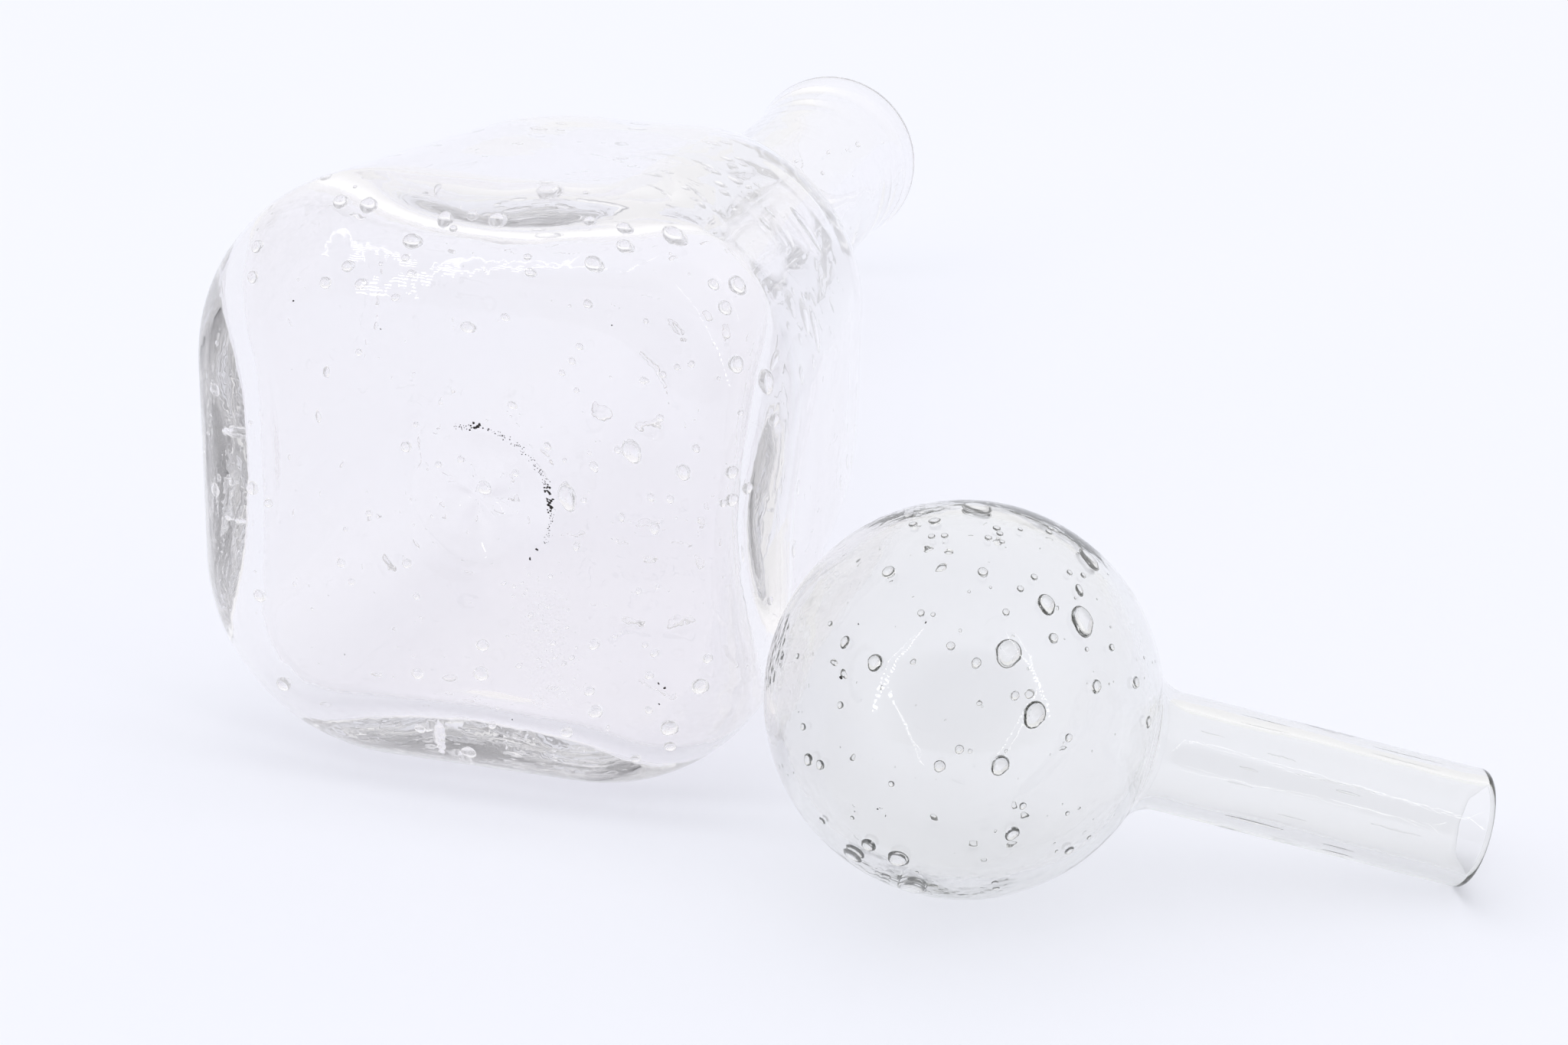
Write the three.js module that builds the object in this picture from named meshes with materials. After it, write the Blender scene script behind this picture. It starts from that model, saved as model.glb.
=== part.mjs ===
// Square hand-blown glass carafe, lying on one of its flat panels, with its hollow ball stopper
// drawn out and laid beside it. Millimetres, +Z up, the neck towards +Y. The origin is the middle
// of the panel that the bottle lies on.

import * as THREE from "three";

// Bottle, measured standing on its foot: heights run from the foot to the lip.
const bodyWidth = 90; // across the flats at the widest, just above the foot
const panelTop = 76; // height where the flat panels run out into the shoulder
const panelTopWidth = 78.2; // across the flats there
const neckBase = 146; // height where the shoulder ends
const bottleHeight = 216.4;
const footFillet = 16; // between the foot and the panels
const footCorner = 29.9; // of the square plan, at the widest
const panelTopCorner = 26.6; // and where the panels run out
const bodyWall = 7; // at the middle of a panel
const cornerTightening = 6; // the corners inside are tighter than the wall makes them, so thinner there
const baseThickness = 10;
const floorFillet = 6.3; // inside, between the floor and the panels
const pontilRadius = 11.5; // hollow left by the pontil rod under the foot
const pontilDepth = 1.2;
const shoulderSwell = 30.7; // how far the shoulder keeps the line of the panels
const neckSweep = 18.4; // how far it then runs along the neck
const neckWall = 5.7;
const lipFlare = 1.2; // the lip stands out from the neck by this much
const lipFlareLength = 18;
const mouthFlare = 0.8; // the bore opens by this much at the mouth
const rimRound = 2.6; // height of the fire-polished rim

// Stopper: a blown ball drawn out into an open tube.
const ballDiameter = 55.4;
const stemDiameter = 17.1;
const stemLength = 47; // beyond the ball
const stopperWall = 2.2;
const stemFillet = 5; // where the ball runs into the stem
const stopperPlay = 1.6; // all round the stem, in the neck's bore

// How the stopper lies beside the bottle.
const stopperGap = 0.6; // sideways, from the bottle's widest line to the ball
const ballAhead = 42.1; // from the middle of the panel to the ball, towards the foot
const stemTurn = THREE.MathUtils.degToRad(13); // from +X towards +Y

// Facets.
const sectionPoints = 48;
const latheSegments = 40;
const filletSteps = 7;
const panelSteps = 3;
const shoulderSteps = 12;
const flareSteps = 4;
const rimSteps = 6;
const pontilSteps = 3;
const ballSteps = 16;
const stemFilletSteps = 4;

const stemRadius = stemDiameter / 2;
const ballRadius = ballDiameter / 2;
const boreRadius = stemRadius + stopperPlay;
const neckRadius = boreRadius + neckWall;

const glass = () => new THREE.MeshStandardMaterial({
  color: 0xdde2e6,
  roughness: 0.04,
  metalness: 0,
  transparent: true,
  opacity: 0.35,
});

// Distance from the axis to the edge of a square of half-width half with round corners.
function sectionReach(angle, half, corner) {
  const cosine = Math.abs(Math.cos(angle));
  const sine = Math.abs(Math.sin(angle));
  const across = Math.max(cosine, sine);
  const along = Math.min(cosine, sine);
  const straight = half - corner;
  if (half * along <= straight * across) {
    return half / across;
  }
  const towards = straight * (across + along);
  return towards + Math.sqrt(towards ** 2 - 2 * straight ** 2 + corner ** 2);
}

// The angle by which a panel leans in, from the fillet that it leaves to the height where it ends.
function panelLean(floor, half, fillet, topHalf) {
  const rise = panelTop - floor - fillet;
  const inset = topHalf - half + fillet;
  return Math.asin(fillet / Math.hypot(rise, inset)) - Math.atan2(inset, rise);
}

// Stations of one face of the body, outside or inside, from its floor up to the neck.
function bodyStations({ floor, half, fillet, corner, topHalf, topCorner, neck }) {
  const stations = [];
  const lean = panelLean(floor, half, fillet, topHalf);
  for (let step = 0; step <= filletSteps; step += 1) {
    const turn = (step / filletSteps) * (Math.PI / 2 + lean);
    const inset = fillet * (1 - Math.sin(turn));
    stations.push({
      height: floor + fillet * (1 - Math.cos(turn)),
      half: half - inset,
      corner: corner - inset,
    });
  }
  const panelFoot = stations[filletSteps];
  for (let step = 1; step <= panelSteps; step += 1) {
    const share = step / panelSteps;
    stations.push({
      height: THREE.MathUtils.lerp(panelFoot.height, panelTop, share),
      half: THREE.MathUtils.lerp(panelFoot.half, topHalf, share),
      corner: THREE.MathUtils.lerp(panelFoot.corner, topCorner, share),
    });
  }
  const shoulder = new THREE.CubicBezierCurve(
    new THREE.Vector2(panelTop, topHalf),
    new THREE.Vector2(panelTop + shoulderSwell * Math.cos(lean), topHalf - shoulderSwell * Math.sin(lean)),
    new THREE.Vector2(neckBase - neckSweep, neck),
    new THREE.Vector2(neckBase, neck),
  );
  for (const point of shoulder.getPoints(shoulderSteps).slice(1)) {
    const closing = (topHalf - point.y) / (topHalf - neck);
    const roundness = THREE.MathUtils.lerp(topCorner / topHalf, 1, Math.sqrt(closing));
    stations.push({ height: point.x, half: point.y, corner: point.y * roundness });
  }
  return stations;
}

const ring = (height, radius) => ({ height, half: radius, corner: radius });

// The hollow of the pontil mark, from near its middle out to the flat foot.
function pontilStations() {
  const stations = [];
  for (let step = 1; step <= pontilSteps; step += 1) {
    const share = step / pontilSteps;
    stations.push(ring(pontilDepth * (1 - share ** 2), pontilRadius * share));
  }
  return stations;
}

// A stretch of the neck whose radius opens smoothly by flare up to the rim.
function flareStations(radius, flare) {
  const stations = [];
  const top = bottleHeight - rimRound;
  for (let step = 0; step <= flareSteps; step += 1) {
    const share = step / flareSteps;
    stations.push(ring(top - lipFlareLength * (1 - share), radius + flare * share ** 2));
  }
  return stations;
}

// The round rim, from the outside of the lip over to the mouth.
function rimStations() {
  const outer = neckRadius + lipFlare;
  const mouth = boreRadius + mouthFlare;
  const stations = [];
  for (let step = 1; step < rimSteps; step += 1) {
    const turn = (step / rimSteps) * Math.PI;
    const radius = (outer + mouth) / 2 + ((outer - mouth) / 2) * Math.cos(turn);
    stations.push(ring(bottleHeight - rimRound * (1 - Math.sin(turn)), radius));
  }
  return stations;
}

// A closed skin through the stations, with a point on the axis at either end.
function loftGeometry(stations, firstHeight, lastHeight) {
  const positions = [0, 0, firstHeight];
  for (const { height, half, corner } of stations) {
    for (let point = 0; point < sectionPoints; point += 1) {
      const angle = (point / sectionPoints) * 2 * Math.PI;
      const reach = sectionReach(angle, half, corner);
      positions.push(reach * Math.cos(angle), reach * Math.sin(angle), height);
    }
  }
  const last = positions.length / 3;
  positions.push(0, 0, lastHeight);
  const indices = [];
  for (let point = 0; point < sectionPoints; point += 1) {
    const next = (point + 1) % sectionPoints;
    indices.push(0, 1 + next, 1 + point);
    for (let level = 0; level < stations.length - 1; level += 1) {
      const low = 1 + level * sectionPoints;
      const high = low + sectionPoints;
      indices.push(low + point, low + next, high + next);
      indices.push(low + point, high + next, high + point);
    }
    const top = last - sectionPoints;
    indices.push(top + point, top + next, last);
  }
  const geometry = new THREE.BufferGeometry();
  geometry.setAttribute("position", new THREE.Float32BufferAttribute(positions, 3));
  geometry.setIndex(indices);
  geometry.computeVertexNormals();
  return geometry;
}

const outside = {
  floor: 0,
  half: bodyWidth / 2,
  fillet: footFillet,
  corner: footCorner,
  topHalf: panelTopWidth / 2,
  topCorner: panelTopCorner,
  neck: neckRadius,
};
const inside = {
  floor: baseThickness,
  half: outside.half - bodyWall,
  fillet: floorFillet,
  corner: footCorner - bodyWall - cornerTightening,
  topHalf: outside.topHalf - bodyWall,
  topCorner: panelTopCorner - bodyWall - cornerTightening,
  neck: boreRadius,
};

// The bottle stands upright here, foot at zero, with one panel towards +Y.
function makeBottle() {
  const stations = [
    ...pontilStations(),
    ...bodyStations(outside),
    ...flareStations(neckRadius, lipFlare),
    ...rimStations(),
    ...flareStations(boreRadius, mouthFlare).reverse(),
    ...bodyStations(inside).reverse(),
  ];
  const bottle = new THREE.Mesh(loftGeometry(stations, pontilDepth, baseThickness), glass());
  bottle.name = "carafe_bottle";
  return bottle;
}

// Half the outline of the stopper, ball at zero and stem along +Y, for one face of its wall.
function stopperFace(ball, stem, fillet, end) {
  const filletHeight = Math.sqrt((ball + fillet) ** 2 - (stem + fillet) ** 2);
  const meeting = Math.atan2(stem + fillet, filletHeight);
  const face = [];
  for (let step = 0; step <= ballSteps; step += 1) {
    const turn = Math.PI - (step / ballSteps) * (Math.PI - meeting);
    face.push(new THREE.Vector2(ball * Math.sin(turn), ball * Math.cos(turn)));
  }
  face[0].x = 0;
  for (let step = 1; step <= stemFilletSteps; step += 1) {
    const turn = meeting + (step / stemFilletSteps) * (Math.PI / 2 - meeting);
    face.push(new THREE.Vector2(stem + fillet * (1 - Math.sin(turn)), filletHeight - fillet * Math.cos(turn)));
  }
  face.push(new THREE.Vector2(stem, end));
  return face;
}

// The ball's centre is at zero and the stem runs along +Z.
function makeStopper() {
  const rim = stopperWall / 2;
  const end = ballRadius + stemLength;
  const outline = stopperFace(ballRadius, stemRadius, stemFillet, end - rim);
  for (let step = 1; step < rimSteps; step += 1) {
    const turn = (step / rimSteps) * Math.PI;
    outline.push(new THREE.Vector2(stemRadius - rim * (1 - Math.cos(turn)), end - rim * (1 - Math.sin(turn))));
  }
  const inner = stopperFace(
    ballRadius - stopperWall,
    stemRadius - stopperWall,
    stemFillet + stopperWall,
    end - rim,
  );
  outline.push(...inner.reverse());
  const geometry = new THREE.LatheGeometry(outline, latheSegments);
  geometry.rotateX(Math.PI / 2);
  const stopper = new THREE.Mesh(geometry, glass());
  stopper.name = "ball_stopper";
  return stopper;
}

// The bottle laid on the panel that faced +Y, with the middle of that flat at the origin.
const lean = panelLean(outside.floor, outside.half, outside.fillet, outside.topHalf);
const panelFootHeight = footFillet * (1 + Math.sin(lean));
const panelFootHalf = bodyWidth / 2 - footFillet * (1 - Math.cos(lean));
const panelMiddle = new THREE.Vector3(
  0,
  (panelFootHalf + panelTopWidth / 2) / 2,
  (panelFootHeight + panelTop) / 2,
);
const bottle = makeBottle();
bottle.rotation.x = -(Math.PI / 2 + lean);
bottle.position.copy(panelMiddle).applyEuler(bottle.rotation).negate();

// The stopper laid down until the ball and the end of the stem both touch the ground.
const stopperReach = ballRadius + stemLength;
const stemDip = Math.asin(ballRadius / Math.hypot(stopperReach, stemRadius)) - Math.atan2(stemRadius, stopperReach);
const stopper = makeStopper();
stopper.rotation.y = Math.PI / 2 + stemDip;
const stopperSpot = new THREE.Group();
stopperSpot.position.set(bodyWidth / 2 + stopperGap + ballRadius, -ballAhead, ballRadius);
stopperSpot.rotation.z = stemTurn;
stopperSpot.add(stopper);

const carafe = new THREE.Group();
carafe.name = "carafe_with_ball_stopper";
carafe.add(bottle, stopperSpot);

export default carafe;
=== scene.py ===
import math
import random

import bmesh
import bpy
from mathutils import Matrix, Vector, noise
from mathutils.bvhtree import BVHTree


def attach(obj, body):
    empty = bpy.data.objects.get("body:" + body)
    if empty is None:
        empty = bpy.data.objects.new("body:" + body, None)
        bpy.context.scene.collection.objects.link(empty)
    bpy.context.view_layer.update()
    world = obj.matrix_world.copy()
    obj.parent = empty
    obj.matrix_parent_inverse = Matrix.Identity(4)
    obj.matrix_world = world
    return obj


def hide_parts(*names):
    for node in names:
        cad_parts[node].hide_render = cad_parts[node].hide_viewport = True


mm = 0.001
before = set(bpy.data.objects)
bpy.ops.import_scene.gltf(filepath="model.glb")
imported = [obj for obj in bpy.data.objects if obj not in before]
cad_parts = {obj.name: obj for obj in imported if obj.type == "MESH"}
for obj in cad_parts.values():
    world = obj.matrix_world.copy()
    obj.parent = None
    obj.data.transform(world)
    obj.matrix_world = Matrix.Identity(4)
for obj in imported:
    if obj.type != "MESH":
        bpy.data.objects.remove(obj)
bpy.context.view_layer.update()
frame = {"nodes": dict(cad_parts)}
bpy.ops.object.select_all(action="DESELECT")  # the loader leaves the CAD nodes selected
scene = bpy.context.scene
scene.view_settings.view_transform = "Standard"
print("frame loaded:", ", ".join(frame["nodes"]))


# Camera

camera = {
    "position": (146.08, -402.97, 239.63),  # mm
    "azimuth": 15.26,  # degrees, to the right of the line that looks along +Y
    "elevation": 26.69,
    "lens": 70.31,  # mm, on a sensor 36 mm wide
    "imageWidth": 2048,
    "imageHeight": 1365,
}


def addCamera():
    eye = bpy.data.cameras.new("camera")
    eye.lens = camera["lens"]
    eye.sensor_fit = "HORIZONTAL"
    eye.sensor_width = 36
    eye.clip_start = 0.01
    holder = bpy.data.objects.new("camera", eye)
    scene.collection.objects.link(holder)
    holder.location = Vector(camera["position"]) * mm
    holder.rotation_euler = (
        math.radians(90 - camera["elevation"]), 0, math.radians(camera["azimuth"]))
    scene.camera = holder
    bpy.context.view_layer.update()
    return holder


cameraHolder = addCamera()
print("camera placed")


def sightLine(across, down):  # from the camera through a pixel of the 2048 x 1365 image
    reach = camera["lens"] / 36 * camera["imageWidth"]
    way = Vector((across - camera["imageWidth"] / 2, camera["imageHeight"] / 2 - down, -reach))
    turned = cameraHolder.matrix_world.to_3x3() @ way
    return cameraHolder.matrix_world.translation.copy(), turned.normalized()


# Materials

def linearColor(hexValue, alpha=1.0):  # sRGB hex to the linear colour that sockets take
    channels = [int(hexValue[start:start + 2], 16) / 255 for start in (1, 3, 5)]
    linear = [c / 12.92 if c <= 0.04045 else ((c + 0.055) / 1.055) ** 2.4 for c in channels]
    return (*linear, alpha)


def addNode(tree, kind, inputs=None, **settings):
    node = tree.nodes.new(kind)
    for name, value in settings.items():
        setattr(node, name, value)
    for name, value in (inputs or {}).items():
        if isinstance(value, bpy.types.NodeSocket):
            tree.links.new(value, node.inputs[name])
        else:
            node.inputs[name].default_value = value
    return node


def newMaterial(name):
    material = bpy.data.materials.new(name)
    material.use_nodes = True
    tree = material.node_tree
    tree.nodes.clear()
    output = addNode(tree, "ShaderNodeOutputMaterial")
    return material, tree, output


def perMillimetre(size):  # texture scale, on coordinates in metres, for a pattern this many mm wide
    return 1 / (size * mm)


# Soda-lime glass, blown and fire-polished: clear, with a soft orange-peel skin that wobbles what is seen
# through it, and a torn patch of sharp little facets where the pontil rod was broken away
def blownGlass(name, skin, body, density, peelSize, peelDepth, rippleSize, rippleDepth, torn):
    material, tree, output = newMaterial(name)
    place = addNode(tree, "ShaderNodeTexCoord").outputs["Object"]
    peel = addNode(tree, "ShaderNodeTexNoise", {
        "Vector": place, "Scale": perMillimetre(peelSize), "Detail": 2.0, "Roughness": 0.5})
    ripple = addNode(tree, "ShaderNodeTexNoise", {
        "Vector": place, "Scale": perMillimetre(rippleSize), "Detail": 1.0, "Roughness": 0.4})
    rippleBump = addNode(tree, "ShaderNodeBump", {
        "Height": ripple.outputs["Fac"], "Distance": rippleDepth * mm, "Strength": 1.0})
    along = addNode(tree, "ShaderNodeSeparateXYZ", {"Vector": place})
    chilled = addNode(tree, "ShaderNodeMapRange", {  # the skin is roughest at the end that met the cold slab
        "Value": along.outputs["Y"], "From Min": -22 * mm, "From Max": -30 * mm,
        "To Min": 0.1, "To Max": 1.0})
    peelBump = addNode(tree, "ShaderNodeBump", {
        "Height": peel.outputs["Fac"], "Distance": peelDepth * mm, "Strength": chilled.outputs["Result"],
        "Normal": rippleBump.outputs["Normal"]})
    offset = addNode(tree, "ShaderNodeVectorMath", {
        0: place, 1: Vector(torn["middle"]) * mm}, operation="SUBTRACT")
    shrink = [perMillimetre(size) for size in torn["reach"]]
    spread = addNode(tree, "ShaderNodeVectorMath", {
        0: offset.outputs["Vector"], 1: shrink}, operation="MULTIPLY")
    away = addNode(tree, "ShaderNodeVectorMath", {0: spread.outputs["Vector"]}, operation="LENGTH")
    patch = addNode(tree, "ShaderNodeMapRange", {
        "Value": away.outputs["Value"], "From Min": 1.0, "From Max": 0.7, "To Min": 0.0, "To Max": 1.0})
    facets = addNode(tree, "ShaderNodeTexVoronoi", {"Vector": place, "Scale": perMillimetre(torn["facet"])})
    tornBump = addNode(tree, "ShaderNodeBump", {
        "Height": facets.outputs["Distance"], "Distance": torn["depth"] * mm,
        "Strength": patch.outputs["Result"], "Normal": peelBump.outputs["Normal"]})
    glass = addNode(tree, "ShaderNodeBsdfPrincipled", {
        "Base Color": linearColor(skin), "IOR": 1.5, "Transmission Weight": 1.0,
        "Roughness": 0.0, "Normal": tornBump.outputs["Normal"]})
    depth = addNode(tree, "ShaderNodeVolumeAbsorption", {"Color": linearColor(body), "Density": density})
    tree.links.new(glass.outputs["BSDF"], output.inputs["Surface"])
    tree.links.new(depth.outputs["Volume"], output.inputs["Volume"])
    return material


# Matt paper sweep: cool white, very slightly mottled
def paperSweep():
    material, tree, output = newMaterial("paperSweep")
    place = addNode(tree, "ShaderNodeTexCoord").outputs["Object"]
    mottle = addNode(tree, "ShaderNodeTexNoise", {
        "Vector": place, "Scale": perMillimetre(90), "Detail": 2.0})
    tone = addNode(tree, "ShaderNodeMix", {
        "Factor": mottle.outputs["Fac"], "A": linearColor("#F3F5FC"), "B": linearColor("#F5F6FC")},
        data_type="RGBA")
    paper = addNode(tree, "ShaderNodeBsdfPrincipled", {
        "Roughness": 0.9, "Specular IOR Level": 0.0})
    tree.links.new(tone.outputs[2], paper.inputs["Base Color"])
    tree.links.new(paper.outputs["BSDF"], output.inputs["Surface"])
    return material


# The wall of a gas bubble: the same glass, perfectly smooth
def seedWall():
    material, tree, output = newMaterial("smoothSodaGlass")
    glass = addNode(tree, "ShaderNodeBsdfPrincipled", {
        "Base Color": linearColor("#FFFFFF"), "IOR": 1.5, "Transmission Weight": 1.0, "Roughness": 0.0})
    tree.links.new(glass.outputs["BSDF"], output.inputs["Surface"])
    return material


# Iron scale off the blowing rod: black, dull and crusty
def ironScale():
    material, tree, output = newMaterial("ironScale")
    place = addNode(tree, "ShaderNodeTexCoord").outputs["Object"]
    crust = addNode(tree, "ShaderNodeTexNoise", {"Vector": place, "Scale": perMillimetre(0.3), "Detail": 2.0})
    tone = addNode(tree, "ShaderNodeValToRGB", {"Fac": crust.outputs["Fac"]})
    tone.color_ramp.elements[0].color = linearColor("#141212")
    tone.color_ramp.elements[1].color = linearColor("#3A322C")
    scale = addNode(tree, "ShaderNodeBsdfPrincipled", {
        "Base Color": tone.outputs["Color"], "Roughness": 0.75, "Metallic": 0.3})
    tree.links.new(scale.outputs["BSDF"], output.inputs["Surface"])
    return material


footTear = {"middle": (12.7, -44.2, 28.2), "reach": (4.2, 4.0, 10.5), "facet": 0.7, "depth": 0.25}  # mm
poleTear = {"middle": (47.2, -48.1, 35.0), "reach": (3.0, 6.5, 6.5), "facet": 1.4, "depth": 0.2}  # mm
bottleGlass = blownGlass("clearSodaGlass", "#FDFCFC", "#BFBEBD", 2.0, 4.0, 0.06, 14.0, 0.03, footTear)
stopperGlass = blownGlass("paleSodaGlass", "#FCFCFB", "#BDBFBA", 24.0, 4.0, 0.05, 12.0, 0.03, poleTear)
bubbleGlass = seedWall()
scaleCrust = ironScale()
print("materials made")


# Lofted glass

def sectionReach(angle, half, corner):  # from the axis to the edge of a square with round corners
    cosine, sine = abs(math.cos(angle)), abs(math.sin(angle))
    across, along = max(cosine, sine), min(cosine, sine)
    straight = half - corner
    if half * along <= straight * across:
        return half / across
    towards = straight * (across + along)
    return towards + math.sqrt(max(towards ** 2 - 2 * straight ** 2 + corner ** 2, 0))


def placeRing(piece, rings, level, push):  # moves the selected loop to its ring, keeping each angle
    ring = rings[level]
    before, after = rings[max(level - 1, 0)], rings[min(level + 1, len(rings) - 1)]
    rise, run = after["height"] - before["height"], after["half"] - before["half"]
    length = math.hypot(rise, run) or 1
    outRadius, outHeight = rise / length, -run / length
    loop = bmesh.from_edit_mesh(piece.data)
    for vert in loop.verts:
        if not vert.select:
            continue
        angle = math.atan2(vert.co.y, vert.co.x)
        reach = sectionReach(angle, ring["half"], ring["corner"])
        spot = Vector((reach * math.cos(angle), reach * math.sin(angle), ring["height"]))
        depth = push(spot, angle, ring)
        reach -= depth * outRadius
        height = ring["height"] - depth * outHeight
        vert.co = Vector((reach * math.cos(angle), reach * math.sin(angle), height)) * mm
    bmesh.update_edit_mesh(piece.data)


def loft(name, rings, points, crowd, push):  # a circle extruded from ring to ring, then closed at both ends
    bpy.ops.object.select_all(action="DESELECT")
    bpy.ops.mesh.primitive_circle_add(vertices=points, radius=rings[0]["half"] * mm)
    piece = bpy.context.object
    piece.name = piece.data.name = name
    bpy.ops.object.mode_set(mode="EDIT")
    bpy.ops.mesh.select_mode(type="EDGE")
    start = bmesh.from_edit_mesh(piece.data)
    for vert in start.verts:  # the points stand closer at the four corners
        angle = math.atan2(vert.co.y, vert.co.x)
        angle += crowd * math.sin(4 * angle)
        vert.co = Vector((math.cos(angle), math.sin(angle), 0)) * rings[0]["half"] * mm
    placeRing(piece, rings, 0, push)
    for level in range(1, len(rings)):
        bpy.ops.mesh.extrude_edges_indiv()
        placeRing(piece, rings, level, push)
    bpy.ops.mesh.select_all(action="SELECT")
    bpy.ops.mesh.fill_holes(sides=0)
    bpy.ops.mesh.select_all(action="DESELECT")
    ends = bmesh.from_edit_mesh(piece.data)
    for face in ends.faces:
        face.select = len(face.verts) > 4
    bpy.ops.mesh.poke()
    bpy.ops.mesh.select_all(action="SELECT")
    bpy.ops.mesh.normals_make_consistent(inside=False)
    bpy.ops.object.mode_set(mode="OBJECT")
    bpy.ops.object.shade_smooth()
    return piece


def wallTree(piece):
    mesh = piece.data
    return BVHTree.FromPolygons(
        [vert.co.copy() for vert in mesh.vertices], [tuple(face.vertices) for face in mesh.polygons])


# Bottle

bottle = {  # mm, standing on its foot
    "width": 90.0, "panelTop": 76.0, "panelTopWidth": 78.2, "neckBase": 146.0, "height": 216.4,
    "footFillet": 16.0, "footCorner": 29.9, "panelTopCorner": 26.6,
    "wall": 7.0, "base": 12.0, "innerFillet": 8.0, "pontilRadius": 11.5, "pontilDepth": 1.2,
    "innerCornerTight": 6.0,  # the corners inside are this much tighter, so the glass is thinner there
    "shoulderSwell": 30.7, "neckSweep": 18.4, "neckRadius": 15.85, "boreRadius": 10.15,
    "lipFlare": 1.2, "flareLength": 18.0, "mouthFlare": 0.8, "rimRound": 2.6,
    "points": 176, "crowd": 0.1,  # round one ring, and how much closer they stand at the corners
    "panelDish": 0.5,  # how far the paddled panels are hollow
    "outerWave": 0.1, "innerWave": 0.4,  # the hand-made unevenness of the two faces of the wall
    "swell": 1.2, "swellStart": 18.0, "swellMost": 44.0, "swellEnd": 95.0,  # the panels thicken inside
    "heel": 4.2, "heelEnd": 55.0,  # how much thicker the wall is above the floor, and where that fades out
    "kick": 1.5,  # the floor inside is pushed up in the middle by this much
}


def ringAt(height, half, corner=None):
    return {"height": height, "half": half, "corner": half if corner is None else corner}


def panelLean(floor, half, fillet, topHalf):
    rise = bottle["panelTop"] - floor - fillet
    inset = topHalf - half + fillet
    return math.asin(fillet / math.hypot(rise, inset)) - math.atan2(inset, rise)


def blend(start, end, share):
    return start + (end - start) * share


def smooth(start, end, value):  # 0 to 1 with no corner at either end
    share = min(max((value - start) / (end - start), 0), 1)
    return share * share * (3 - 2 * share)


def bodyRings(floor, half, fillet, corner, topHalf, topCorner, neck):
    rings = []
    lean = panelLean(floor, half, fillet, topHalf)
    for step in range(1, 15):
        turn = step / 14 * (math.pi / 2 + lean)
        inset = fillet * (1 - math.sin(turn))
        rings.append(ringAt(floor + fillet * (1 - math.cos(turn)), half - inset, corner - inset))
    foot = rings[-1]
    for step in range(1, 21):
        share = step / 20
        rings.append(ringAt(
            blend(foot["height"], bottle["panelTop"], share),
            blend(foot["half"], topHalf, share), blend(foot["corner"], topCorner, share)))
    handles = (
        (bottle["panelTop"], topHalf),
        (bottle["panelTop"] + bottle["shoulderSwell"] * math.cos(lean),
         topHalf - bottle["shoulderSwell"] * math.sin(lean)),
        (bottle["neckBase"] - bottle["neckSweep"], neck),
        (bottle["neckBase"], neck))
    for step in range(1, 37):
        share = step / 36
        weights = ((1 - share) ** 3, 3 * (1 - share) ** 2 * share, 3 * (1 - share) * share ** 2, share ** 3)
        height, reach = (sum(w * h[axis] for w, h in zip(weights, handles)) for axis in (0, 1))
        closing = max((topHalf - reach) / (topHalf - neck), 0)
        rings.append(ringAt(height, reach, reach * blend(topCorner / topHalf, 1, math.sqrt(closing))))
    return rings


def floorRings(floor, centre, inner, half, corner):  # from near the axis out to the start of a fillet
    rings = []
    for step in range(1, 7):
        share = step / 6
        rings.append(ringAt(blend(centre, floor, share ** 2), inner * share))
    for step in range(1, 13):
        share = step / 12
        rings.append(ringAt(floor, blend(inner, half, share), blend(inner, corner, share)))
    return rings


def flareRings(radius, flare):
    top = bottle["height"] - bottle["rimRound"]
    return [
        ringAt(top - bottle["flareLength"] * (1 - step / 10), radius + flare * (step / 10) ** 2)
        for step in range(11)]


def neckRings(radius):
    low, high = bottle["neckBase"], bottle["height"] - bottle["rimRound"] - bottle["flareLength"]
    return [ringAt(blend(low, high, step / 12), radius) for step in range(1, 12)]


def rimRings():
    outer = bottle["neckRadius"] + bottle["lipFlare"]
    mouth = bottle["boreRadius"] + bottle["mouthFlare"]
    rings = []
    for step in range(1, 12):
        turn = step / 12 * math.pi
        radius = (outer + mouth) / 2 + (outer - mouth) / 2 * math.cos(turn)
        rings.append(ringAt(bottle["height"] - bottle["rimRound"] * (1 - math.sin(turn)), radius))
    return rings


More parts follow.
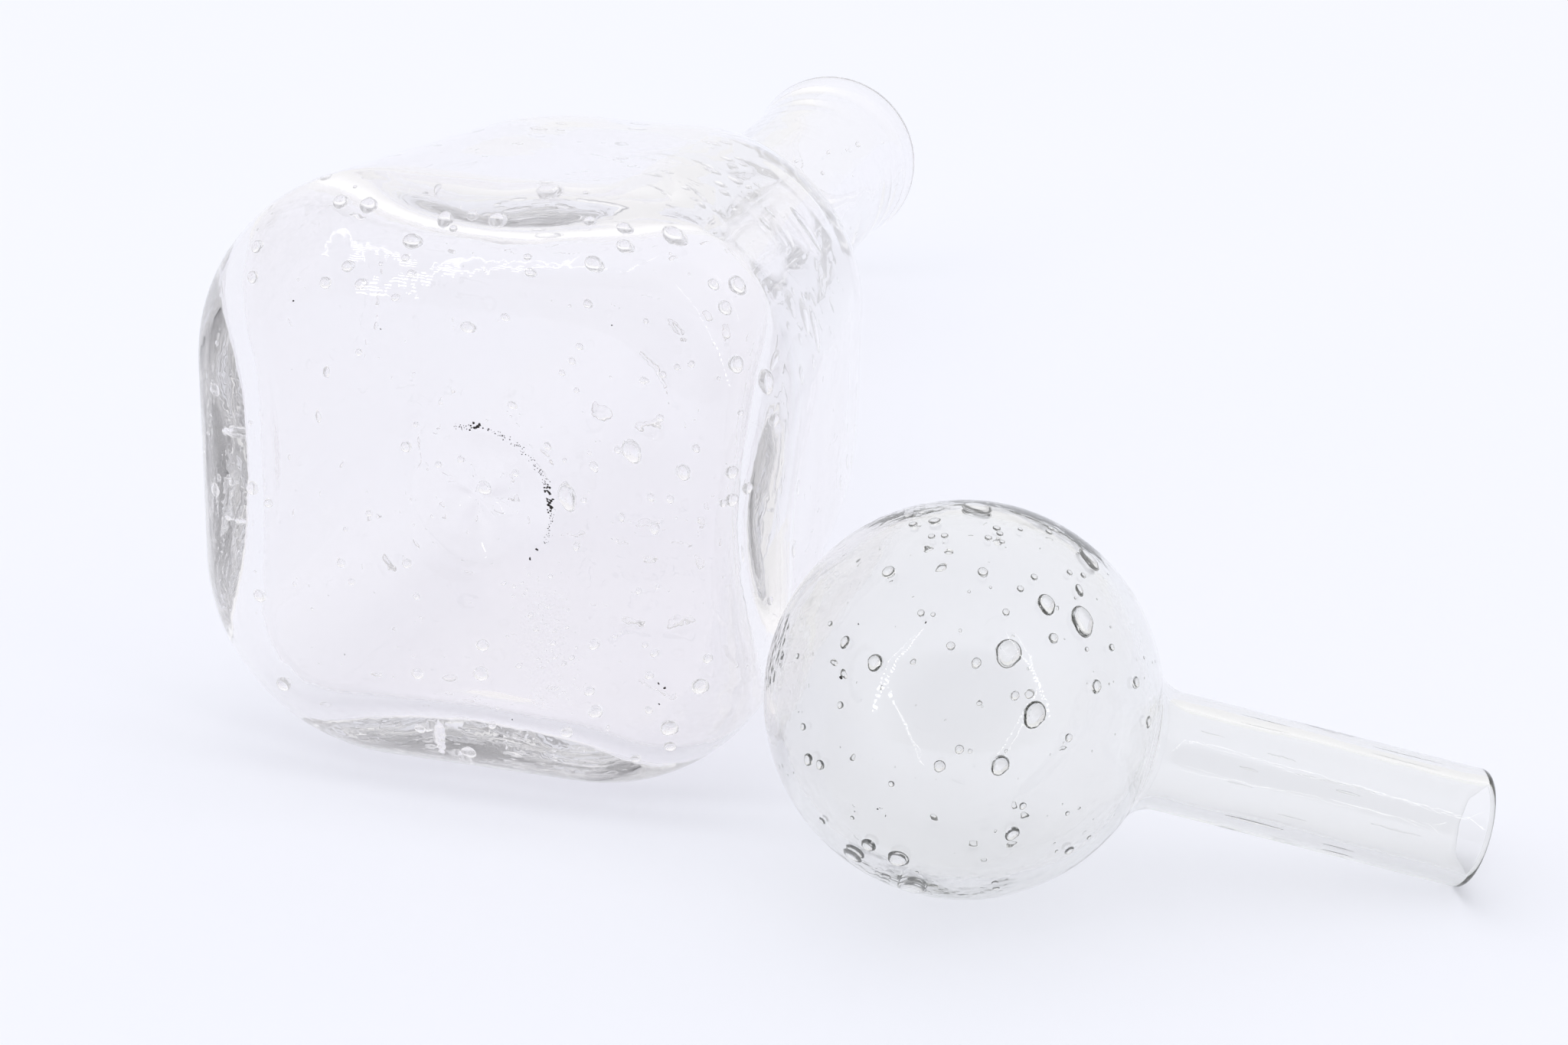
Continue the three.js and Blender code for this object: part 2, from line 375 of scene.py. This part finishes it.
def makeBottle():
    wall, half, topHalf = bottle["wall"], bottle["width"] / 2, bottle["panelTopWidth"] / 2
    fillet, corner, topCorner = bottle["footFillet"], bottle["footCorner"], bottle["panelTopCorner"]
    outside = floorRings(0, bottle["pontilDepth"], bottle["pontilRadius"], half - fillet, corner - fillet)
    outside += bodyRings(0, half, fillet, corner, topHalf, topCorner, bottle["neckRadius"])
    outside += neckRings(bottle["neckRadius"]) + flareRings(bottle["neckRadius"], bottle["lipFlare"])
    innerHalf, innerFillet = half - wall, bottle["innerFillet"]
    innerCorner = corner - wall - bottle["innerCornerTight"]
    inside = floorRings(
        bottle["base"], bottle["base"] + bottle["kick"], bottle["pontilRadius"],
        innerHalf - innerFillet, innerCorner - innerFillet)
    inside += bodyRings(
        bottle["base"], innerHalf, innerFillet, innerCorner,
        topHalf - wall, topCorner - wall - bottle["innerCornerTight"], bottle["boreRadius"])
    inside += neckRings(bottle["boreRadius"]) + flareRings(bottle["boreRadius"], bottle["mouthFlare"])
    for ring in inside:
        ring["inside"] = True
    rings = outside + rimRings() + inside[::-1]

    def push(spot, angle, ring):  # inward on the outer face, either way on the inner one
        fade = min(max((bottle["height"] - spot.z) / 40, 0.15), 1)
        broad = noise.noise(spot / 26 + Vector((3, 8, 1)))
        small = noise.noise(spot / 9 + Vector((11, 2, 5)))
        panel = (0.5 + 0.5 * math.cos(4 * angle)) ** 2
        if ring.get("inside"):
            swell = smooth(bottle["swellStart"], bottle["swellMost"], spot.z)
            swell *= smooth(bottle["swellEnd"], bottle["swellMost"], spot.z)
            heelFoot = bottle["base"] + bottle["innerFillet"]
            heel = smooth(bottle["base"], heelFoot, spot.z) * smooth(bottle["heelEnd"], heelFoot, spot.z)
            wave = bottle["innerWave"] * fade * (0.7 * broad + 0.3 * small)
            return wave - bottle["swell"] * swell * panel - bottle["heel"] * heel * math.sqrt(panel)
        rise = min(max((spot.z - 14) / 22, 0), 1) * min(max((104 - spot.z) / 30, 0), 1)
        dish = bottle["panelDish"] * rise * panel
        return dish + bottle["outerWave"] * (0.2 + fade * (0.5 + 0.35 * broad + 0.15 * small))

    piece = loft("seededBottle", rings, bottle["points"], bottle["crowd"], push)
    lean = panelLean(0, half, fillet, topHalf)
    panelMiddle = Vector((
        0,
        (half - fillet * (1 - math.cos(lean)) + topHalf) / 2,
        (fillet * (1 + math.sin(lean)) + bottle["panelTop"]) / 2)) * mm
    laid = Matrix.Rotation(-(math.pi / 2 + lean), 4, "X") @ Matrix.Translation(-panelMiddle)
    piece.data.transform(laid)
    return piece, laid


bottlePiece, bottleLaid = makeBottle()
bottleTree = wallTree(bottlePiece)
print("bottle lofted:", len(bottlePiece.data.polygons), "faces")


# Stopper

stopper = {  # mm, ball at zero and stem along +Z
    "ball": 55.4, "stem": 17.1, "stemLength": 47.0, "wall": 2.2, "fillet": 5.0,
    "gap": 0.6, "ahead": 42.1, "turn": 13.0,  # how it lies beside the bottle
    "points": 96, "outerWave": 0.16, "innerWave": 0.35,
}


def stopperFace(ball, stem, fillet, end):
    filletHeight = math.sqrt((ball + fillet) ** 2 - (stem + fillet) ** 2)
    meeting = math.atan2(stem + fillet, filletHeight)
    rings = []
    for step in range(1, 41):
        turn = math.pi - step / 40 * (math.pi - meeting)
        rings.append(ringAt(ball * math.cos(turn), ball * math.sin(turn)))
    for step in range(1, 9):
        turn = meeting + step / 8 * (math.pi / 2 - meeting)
        rings.append(ringAt(filletHeight - fillet * math.cos(turn), stem + fillet * (1 - math.sin(turn))))
    for step in range(1, 17):
        rings.append(ringAt(blend(filletHeight, end, step / 16), stem))
    return rings


def makeStopper():
    ball, stem, wall = stopper["ball"] / 2, stopper["stem"] / 2, stopper["wall"]
    rim, end = wall / 2, ball + stopper["stemLength"]
    rings = stopperFace(ball, stem, stopper["fillet"], end - rim)
    for step in range(1, 10):
        turn = step / 10 * math.pi
        rings.append(ringAt(end - rim * (1 - math.sin(turn)), stem - rim * (1 - math.cos(turn))))
    inside = stopperFace(ball - wall, stem - wall, stopper["fillet"] + wall, end - rim)
    for ring in inside:
        ring["inside"] = True
    rings += inside[::-1]

    def push(spot, angle, ring):
        fade = min(max((end - spot.z) / 30, 0.1), 1)
        broad = noise.noise(spot / 17 + Vector((6, 1, 4)))
        small = noise.noise(spot / 7 + Vector((2, 9, 3)))
        if ring.get("inside"):
            return stopper["innerWave"] * fade * (0.75 * broad + 0.25 * small)
        return stopper["outerWave"] * (0.12 + fade * (0.5 + 0.35 * broad + 0.15 * small))

    piece = loft("seededStopper", rings, stopper["points"], 0, push)
    dip = math.asin(ball / math.hypot(end, stem)) - math.atan2(stem, end)
    spot = Vector((bottle["width"] / 2 + stopper["gap"] + ball, -stopper["ahead"], ball)) * mm
    laid = Matrix.Translation(spot) @ Matrix.Rotation(math.radians(stopper["turn"]), 4, "Z")
    laid = laid @ Matrix.Rotation(math.pi / 2 + dip, 4, "Y")
    piece.data.transform(laid)
    return piece, laid


stopperPiece, stopperLaid = makeStopper()
stopperTree = wallTree(stopperPiece)
print("stopper lofted:", len(stopperPiece.data.polygons), "faces")


# Seeds: gas bubbles in the glass, drawn out round the bottle by spinning and along it in the neck

seeds = {
    "cover": 0.2,  # mm of glass that stays over a seed
    "apart": 0.15,  # mm between two seeds
    "fineSegments": 18, "fineRings": 10,  # faces of a large seed
    "segments": 10, "rings": 6,  # and of a small one
    "fineFrom": 0.5,  # mm, half across, from where a seed counts as large
    "least": 0.06,  # mm, half through, under which one is left out
    "deepest": 12.0,  # mm of wall that seeds are spread through
    "sparkle": 110, "foot": 90, "sides": 190, "shoulder": 120, "neck": 60,  # how many in the bottle
    "ball": 170, "stem": 40,  # how many in the stopper
    "draw": 7,  # start of the random draws
}
footSeeds = (  # pixel across, pixel down, half width and half length in mm
    (825, 590, 1.4, 1.9), (741, 650, 1.3, 2.2), (612, 428, 0.8, 1.2), (893, 617, 0.95, 1.3),
    (633, 637, 1.1, 1.2), (777, 345, 1.0, 1.5), (455, 347, 0.75, 1.0), (425, 368, 0.8, 0.9),
    (472, 371, 0.7, 1.0), (517, 388, 0.5, 0.7), (693, 357, 0.6, 0.9), (538, 357, 0.55, 0.75),
    (530, 336, 0.5, 0.65), (660, 415, 0.5, 0.7), (768, 397, 0.55, 0.7), (757, 453, 0.5, 0.6),
    (747, 472, 0.5, 0.6), (734, 487, 0.45, 0.55), (753, 510, 0.4, 0.45), (840, 497, 0.5, 0.6),
    (865, 490, 0.45, 0.55), (884, 480, 0.4, 0.5), (902, 476, 0.45, 0.5), (862, 546, 0.5, 0.6),
    (910, 586, 0.5, 0.7), (530, 583, 0.8, 0.9), (602, 600, 0.6, 0.6), (573, 607, 0.55, 0.6),
    (672, 619, 0.55, 0.6), (776, 610, 0.6, 0.9), (715, 583, 0.55, 0.7), (850, 650, 0.5, 0.7),
    (812, 676, 0.45, 0.75), (855, 690, 0.7, 1.0), (753, 714, 0.5, 0.75), (630, 843, 0.95, 1.0),
    (628, 880, 1.2, 1.2), (545, 880, 0.85, 0.95), (776, 842, 0.75, 1.0), (770, 903, 0.7, 0.95),
    (778, 929, 0.95, 1.25), (915, 897, 1.2, 1.25), (925, 860, 0.65, 0.8), (855, 853, 0.55, 0.75),
    (848, 882, 0.6, 0.75), (875, 952, 1.2, 1.3), (740, 957, 0.8, 0.9), (875, 975, 0.8, 0.8),
    (370, 893, 1.1, 1.1), (350, 657, 0.65, 0.7), (338, 778, 0.8, 1.0), (445, 735, 0.65, 0.75),
    (530, 737, 0.7, 0.75), (459, 760, 0.55, 0.55), (834, 772, 0.4, 0.6))
sideSeeds = (
    (650, 288, 1.1, 1.4), (482, 267, 1.2, 1.3), (445, 263, 1.0, 1.1), (718, 250, 1.6, 2.0),
    (770, 289, 0.7, 0.9), (816, 299, 0.8, 1.2), (817, 322, 0.9, 1.3), (882, 308, 1.3, 1.9),
    (963, 373, 1.3, 1.5), (933, 371, 0.7, 0.9), (947, 402, 0.9, 1.1), (955, 617, 0.9, 1.0),
    (955, 653, 0.9, 1.0), (975, 638, 0.8, 0.9), (1065, 430, 1.8, 3.4), (1055, 300, 1.6, 4.2),
    (1000, 293, 1.0, 1.3), (336, 320, 0.8, 1.0), (331, 363, 0.8, 0.9), (618, 280, 0.7, 0.9))
ballSeeds = (
    (1317, 854, 1.8, 2.0), (1351, 934, 1.6, 1.9), (1306, 1000, 1.25, 1.45), (1414, 812, 1.8, 2.3),
    (1367, 790, 1.3, 1.6), (1376, 834, 0.7, 0.75), (1284, 748, 0.7, 0.85), (1242, 844, 0.6, 0.6),
    (1161, 748, 1.0, 1.1), (1143, 866, 1.15, 1.2), (1322, 1089, 1.0, 1.2), (1253, 979, 0.6, 0.65),
    (1396, 964, 0.55, 0.6), (1314, 800, 0.5, 0.55), (1333, 769, 0.5, 0.5), (1351, 754, 0.5, 0.55),
    (1452, 846, 0.5, 0.55), (1397, 748, 0.45, 0.5), (1415, 752, 0.45, 0.5), (1410, 771, 0.6, 1.0),
    (1203, 801, 0.5, 0.55), (1164, 1024, 0.45, 0.45), (1336, 1053, 0.5, 0.55), (1227, 1001, 0.8, 0.85),
    (1277, 663, 2.0, 2.6), (1282, 679, 1.6, 2.1), (1423, 731, 1.6, 2.2), (1173, 1122, 1.5, 1.9),
    (1113, 1118, 1.5, 1.8), (1190, 1160, 2.0, 3.4), (1134, 1104, 1.1, 1.4), (1221, 681, 0.9, 1.0),
    (1193, 685, 0.6, 0.8), (1217, 701, 0.5, 0.6), (1234, 700, 0.5, 0.6), (1306, 697, 0.5, 0.5),
    (1309, 708, 0.4, 0.45), (1302, 690, 0.55, 0.6))
draw = random.Random(seeds["draw"])


def makeSeed(segments, rings):  # one bubble 1 m in radius, narrower at one end, its faces towards the gas
    bpy.ops.object.select_all(action="DESELECT")
    bpy.ops.mesh.primitive_uv_sphere_add(segments=segments, ring_count=rings, radius=1.0, location=(0, 0, 0))
    seed = bpy.context.object
    bpy.ops.object.mode_set(mode="EDIT")
    bpy.ops.mesh.select_all(action="DESELECT")
    for vert in bmesh.from_edit_mesh(seed.data).verts:
        vert.select = vert.co.z > 0.3
    bpy.ops.transform.resize(value=(0.88, 0.88, 1.0), center_override=(0, 0, 0))
    bpy.ops.mesh.select_all(action="SELECT")
    bpy.ops.mesh.flip_normals()
    bpy.ops.object.mode_set(mode="OBJECT")
    bpy.ops.object.shade_smooth()
    seed.data.materials.append(bubbleGlass)
    return seed


def wallAt(tree, origin, way):  # where a ray meets the glass, the way it bends in and how thick the wall is
    spot, normal, _, _ = tree.ray_cast(origin, way)
    if spot is None or normal.dot(way) > -0.05:
        return None
    inside, _, _, thickness = tree.ray_cast(spot - normal * 0.02 * mm, -normal)
    if inside is None:
        return None
    ratio, facing = 1 / 1.5, -normal.dot(way)
    bent = way * ratio + normal * (ratio * facing - math.sqrt(1 - ratio ** 2 * (1 - facing ** 2)))
    return spot, normal, bent, thickness


class Bubbles:  # the seeds of one piece of glass
    def __init__(self, tree, large, small):
        self.tree, self.large, self.small = tree, large, small
        self.spots, self.copies = [], []

    def add(self, origin, way, share, halfWidth, halfLength, along):
        wall = wallAt(self.tree, origin, way)
        if wall is None:
            return
        spot, normal, bent, thickness = wall
        depth = min(thickness, seeds["deepest"] * mm) * share
        flat = min(halfWidth * mm, depth - seeds["cover"] * mm, thickness - depth - seeds["cover"] * mm)
        if flat < seeds["least"] * mm:
            return
        middle = spot + bent * (depth / -bent.dot(normal))
        reach = halfLength * mm
        if any((middle - other).length < reach + room for other, room in self.spots):
            return
        self.spots.append((middle, reach + seeds["apart"] * mm))
        axis = along(spot, normal)
        axis = (axis - normal * axis.dot(normal)).normalized()
        across = axis.cross(normal)
        turn = Matrix((across, normal, axis)).transposed().to_4x4()
        size = Matrix.Diagonal((halfWidth * mm, flat, reach, 1))
        master = self.large if halfWidth >= seeds["fineFrom"] else self.small
        copy = master.copy()
        copy.data = master.data.copy()
        copy.data.transform(Matrix.Translation(middle) @ turn @ size)
        scene.collection.objects.link(copy)
        self.copies.append(copy)

    def joinTo(self, piece):
        bpy.ops.object.select_all(action="DESELECT")
        for copy in self.copies:
            copy.select_set(True)
        piece.select_set(True)
        bpy.context.view_layer.objects.active = piece
        bpy.ops.object.join()
        bpy.context.view_layer.update()


def bubbleSize(low, high):  # many small ones and a few large
    return low + (high - low) * draw.random() ** 3


bottleAxis = (bottleLaid.to_3x3() @ Vector((0, 0, 1))).normalized()
footMiddle = bottleLaid @ Vector((0, 0, 0))
stemAxis = (stopperLaid.to_3x3() @ Vector((0, 0, 1))).normalized()
ballMiddle = stopperLaid @ Vector((0, 0, 0))


def roundFoot(spot, normal):  # the way the foot was spun
    outward = spot - footMiddle
    return bottleAxis.cross(outward) if outward.length > mm else Vector((1, 0, 0))


def roundBody(spot, normal):
    return bottleAxis.cross(normal)


def alongNeck(spot, normal):
    return bottleAxis


def roundBall(spot, normal):
    return stemAxis.cross(normal) + normal.orthogonal() * 0.3


def alongStem(spot, normal):
    return stemAxis


def bottleRay(angle, height):  # from outside, straight at the axis
    out = Vector((math.cos(angle), math.sin(angle), 0))
    start = bottleLaid @ (out * 200 * mm + Vector((0, 0, height * mm)))
    return start, -(bottleLaid.to_3x3() @ out)


def fillBottle(bubbles):
    for across, down, halfWidth, halfLength in footSeeds:
        bubbles.add(*sightLine(across, down), draw.uniform(0.3, 0.6), halfWidth, halfLength, roundFoot)
    for across, down, halfWidth, halfLength in sideSeeds:
        bubbles.add(*sightLine(across, down), draw.uniform(0.4, 0.6), halfWidth, halfLength, roundBody)
    for _ in range(seeds["sparkle"]):  # tiny ones just under the torn patch of the foot
        share = draw.random()
        across = blend(690, 745, share) + draw.gauss(0, 18)
        down = blend(745, 915, share) + draw.gauss(0, 12)
        size = bubbleSize(0.09, 0.4)
        bubbles.add(
            *sightLine(across, down), draw.uniform(0.05, 0.12), size, size * draw.uniform(1, 1.6), roundFoot)
    for _ in range(seeds["foot"]):
        angle, out = draw.uniform(0, 2 * math.pi), 40 * math.sqrt(draw.random())
        start = bottleLaid @ (Vector((out * math.cos(angle), out * math.sin(angle), -50)) * mm)
        size = bubbleSize(0.1, 0.6)
        bubbles.add(start, bottleAxis, draw.uniform(0.2, 0.75), size, size * draw.uniform(1, 1.4), roundFoot)
    for _ in range(seeds["sides"]):
        size = bubbleSize(0.15, 1.2)
        ray = bottleRay(draw.uniform(0, 2 * math.pi), draw.uniform(4, 80))
        bubbles.add(*ray, draw.uniform(0.25, 0.7), size, size * draw.uniform(1, 1.6), roundBody)
    for _ in range(seeds["shoulder"]):
        size = bubbleSize(0.2, 1.3)
        ray = bottleRay(draw.uniform(0, 2 * math.pi), draw.uniform(78, 140))
        bubbles.add(*ray, draw.uniform(0.3, 0.65), size, size * draw.uniform(1.2, 2.4), roundBody)
    for _ in range(seeds["neck"]):
        size = bubbleSize(0.15, 0.6)
        ray = bottleRay(draw.uniform(0, 2 * math.pi), draw.uniform(140, 206))
        bubbles.add(*ray, draw.uniform(0.3, 0.7), size, size * draw.uniform(2, 5), alongNeck)


def fillStopper(bubbles):
    for across, down, halfWidth, halfLength in ballSeeds:
        bubbles.add(*sightLine(across, down), draw.uniform(0.45, 0.55), halfWidth, halfLength, roundBall)
    for _ in range(seeds["ball"]):
        out = Vector((draw.gauss(0, 1), draw.gauss(0, 1), draw.gauss(0, 1))).normalized()
        if out.dot(stemAxis) > 0.85:
            continue
        size = bubbleSize(0.12, 0.9)
        start = ballMiddle + out * 100 * mm
        bubbles.add(start, -out, draw.uniform(0.35, 0.65), size, size * draw.uniform(1, 1.3), roundBall)
    for _ in range(seeds["stem"]):
        angle = draw.uniform(0, 2 * math.pi)
        height = draw.uniform(36, 66)
        out = stopperLaid.to_3x3() @ Vector((math.cos(angle), math.sin(angle), 0))
        start = stopperLaid @ Vector((0, 0, height * mm)) + out * 60 * mm
        size = draw.uniform(0.08, 0.2)
        bubbles.add(start, -out, draw.uniform(0.35, 0.65), size, draw.uniform(1.0, 6.0), alongStem)


largeSeed = makeSeed(seeds["fineSegments"], seeds["fineRings"])
smallSeed = makeSeed(seeds["segments"], seeds["rings"])
bottleBubbles = Bubbles(bottleTree, largeSeed, smallSeed)
stopperBubbles = Bubbles(stopperTree, largeSeed, smallSeed)
fillBottle(bottleBubbles)
fillStopper(stopperBubbles)
bpy.data.objects.remove(largeSeed)
bpy.data.objects.remove(smallSeed)
print("seeds placed:", len(bottleBubbles.copies), "and", len(stopperBubbles.copies))


# Scale from the pontil rod, in a broken ring on the foot and in stray grains

scale = {
    "grains": 170, "ring": 11.5, "middle": (2.4, -2.1),  # mm, on the foot
    "start": -24.0, "end": 104.0,  # degrees from the right of the foot
    "small": 0.1, "large": 0.42,  # mm, half across
    "clots": (86.0, 14.0, 6.0),  # degrees, where the ring is thickest
}
strayGrains = (
    (383, 393, 0.2), (497, 430, 0.14), (799, 425, 0.18), (701, 718, 0.32), (692, 730, 0.3), (860, 893, 0.25),
    (868, 899, 0.28), (861, 920, 0.2), (450, 855, 0.14), (669, 940, 0.14))
poleGrains = ((1098, 885, 0.35), (1121, 815, 0.16), (1209, 813, 0.22), (1146, 1057, 0.2), (1116, 1060, 0.14))


def makeGrain():  # one crumb, 1 m in radius
    bpy.ops.object.select_all(action="DESELECT")
    bpy.ops.mesh.primitive_ico_sphere_add(subdivisions=1, radius=1.0, location=(0, 0, 0))
    grain = bpy.context.object
    bpy.ops.object.mode_set(mode="EDIT")
    bpy.ops.mesh.select_all(action="SELECT")
    bpy.ops.transform.vertex_random(offset=0.3, uniform=0.6, seed=4)
    bpy.ops.mesh.normals_make_consistent(inside=False)
    bpy.ops.object.mode_set(mode="OBJECT")
    grain.data.materials.append(scaleCrust)
    return grain


def addGrain(bubbles, master, origin, way, size):  # sunk into the skin, so that it stands out very little
    wall = wallAt(bubbles.tree, origin, way)
    if wall is None:
        return
    spot, normal, _, _ = wall
    upright = normal.to_track_quat("Z", "Y").to_matrix().to_4x4()
    turn = upright @ Matrix.Rotation(draw.uniform(0, 6.28), 4, "Z")
    shape = Matrix.Diagonal((size * mm, size * draw.uniform(0.5, 1.0) * mm, size * 0.4 * mm, 1))
    copy = master.copy()
    copy.data = master.data.copy()
    copy.data.transform(Matrix.Translation(spot - normal * size * 0.25 * mm) @ turn @ shape)
    scene.collection.objects.link(copy)
    bubbles.copies.append(copy)


def addScale(bubbles, master):
    for _ in range(scale["grains"]):
        angle = draw.uniform(scale["start"], scale["end"])
        near = min(abs(angle - clot) for clot in scale["clots"])
        size = blend(scale["large"], scale["small"], min(near / 9, 1) ** 0.5) * draw.uniform(0.6, 1.3)
        out = scale["ring"] + draw.gauss(0, 0.25)
        turn = math.radians(angle)
        aside, below = scale["middle"]
        start = bottleLaid @ (Vector((aside + out * math.cos(turn), below - out * math.sin(turn), -50)) * mm)
        addGrain(bubbles, master, start, bottleAxis, size)
    for across, down, size in strayGrains:
        addGrain(bubbles, master, *sightLine(across, down), size)


grainMaster = makeGrain()
addScale(bottleBubbles, grainMaster)
for across, down, size in poleGrains:
    addGrain(stopperBubbles, grainMaster, *sightLine(across, down), size)
bpy.data.objects.remove(grainMaster)

for piece, bubbles, node, body, slotName, material in (
        (bottlePiece, bottleBubbles, "carafe_bottle", "bottle", "bottle_glass", bottleGlass),
        (stopperPiece, stopperBubbles, "ball_stopper", "stopper", "stopper_glass", stopperGlass)):
    piece.data.materials.clear()
    piece.data.materials.append(material)
    bubbles.joinTo(piece)
    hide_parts(node)
    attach(piece, body)
print("seeds joined:", len(bottlePiece.data.polygons), "and", len(stopperPiece.data.polygons), "faces")


# Studio

studio = {
    "floorSize": 8.0,  # m
    "floorDrop": 0.0003,  # m below the glass
    "walls": 0.96, "roof": 1.16,  # how bright the tent is at its sides and at its top
    "front": 0.55,  # the share of that at its open front
    "stripPlaces": ((-97.0, -252.0), (307.0, -177.0)),  # mm, at the two edges of the tent's front
    "stripFoot": 95.0, "stripPitch": 14.0, "stripLights": 32, "lightSize": 6.0,  # mm
    "stripAim": (73.0, -42.0),  # mm, the middle of the ball
    "stripStrength": 9.0,
}


def addFloor():
    bpy.ops.object.select_all(action="DESELECT")
    bpy.ops.mesh.primitive_plane_add(size=studio["floorSize"], location=(0, 0, -studio["floorDrop"]))
    floor = bpy.context.object
    floor.name = "floor"
    floor.data.materials.append(paperSweep())


# Soft white tent, dimmer at the side that faces the camera
def addTent():
    world = bpy.data.worlds.new("tent")
    scene.world = world
    world.use_nodes = True
    tree = world.node_tree
    tree.nodes.clear()
    way = addNode(tree, "ShaderNodeTexCoord").outputs["Generated"]
    azimuth = math.radians(camera["azimuth"])
    front = Vector((math.sin(azimuth), -math.cos(azimuth), 0.25))
    towards = addNode(tree, "ShaderNodeVectorMath", {0: way, 1: front.normalized()}, operation="DOT_PRODUCT")
    shade = addNode(tree, "ShaderNodeMapRange", {
        "Value": towards.outputs["Value"], "From Min": 0.6, "From Max": 0.9,
        "To Min": 1.0, "To Max": studio["front"]}, interpolation_type="SMOOTHSTEP")
    height = addNode(tree, "ShaderNodeSeparateXYZ", {"Vector": way})
    level = addNode(tree, "ShaderNodeMapRange", {
        "Value": height.outputs["Z"], "From Min": 0.1, "From Max": 0.75,
        "To Min": studio["walls"], "To Max": studio["roof"]}, interpolation_type="SMOOTHSTEP")
    inside = addNode(tree, "ShaderNodeMath", {0: shade.outputs["Result"], 1: level.outputs["Result"]},
                     operation="MULTIPLY")
    path = addNode(tree, "ShaderNodeLightPath")
    seen = addNode(tree, "ShaderNodeMath", {0: inside.outputs["Value"], 1: path.outputs["Is Camera Ray"]},
                   operation="MAXIMUM")
    sky = addNode(tree, "ShaderNodeBackground", {
        "Color": linearColor("#FDFDFF"), "Strength": seen.outputs["Value"]})
    output = addNode(tree, "ShaderNodeOutputWorld")
    tree.links.new(sky.outputs["Background"], output.inputs["Surface"])


# Small cold lamps that show only as glints in the glass, and light nothing else
def stripGlow():
    material, tree, output = newMaterial("stripGlow")
    path = addNode(tree, "ShaderNodeLightPath")
    direct = addNode(tree, "ShaderNodeMath", {0: path.outputs["Diffuse Depth"], 1: 0.5},
                     operation="LESS_THAN")
    strength = addNode(tree, "ShaderNodeMath", {0: direct.outputs["Value"], 1: studio["stripStrength"]},
                       operation="MULTIPLY")
    glow = addNode(tree, "ShaderNodeEmission", {
        "Color": linearColor("#FFFFFF"), "Strength": strength.outputs["Value"]})
    tree.links.new(glow.outputs["Emission"], output.inputs["Surface"])
    material.cycles.emission_sampling = "NONE"
    return material


def addStrips():  # an upright row of lamps at each edge of the front
    glow = stripGlow()
    for number, (across, along) in enumerate(studio["stripPlaces"]):
        aimAcross, aimAlong = studio["stripAim"]
        facing = math.atan2(aimAlong - along, aimAcross - across)
        bpy.ops.object.select_all(action="DESELECT")
        bpy.ops.mesh.primitive_plane_add(size=studio["lightSize"] * mm, location=(0, 0, 0))
        strip = bpy.context.object
        strip.name = "strip%d" % number
        row = strip.modifiers.new("row", "ARRAY")
        row.count = studio["stripLights"]
        row.use_relative_offset = False
        row.use_constant_offset = True
        row.constant_offset_displace = (studio["stripPitch"] * mm, 0, 0)
        bpy.ops.object.modifier_apply(modifier="row")
        spot = Vector((across, along, studio["stripFoot"])) * mm
        upright = Matrix.Rotation(facing, 4, "Z") @ Matrix.Rotation(-math.pi / 2, 4, "Y")
        strip.data.transform(Matrix.Translation(spot) @ upright)
        strip.data.materials.append(glow)
        strip.visible_camera = strip.visible_diffuse = strip.visible_shadow = False


addFloor()
addTent()
addStrips()
scene.cycles.blur_glossy = 0  # keeps the light that reaches the floor through the glass
scene.cycles.max_bounces = 96
scene.cycles.transmission_bounces = 96
scene.cycles.glossy_bounces = 96
print("studio set")
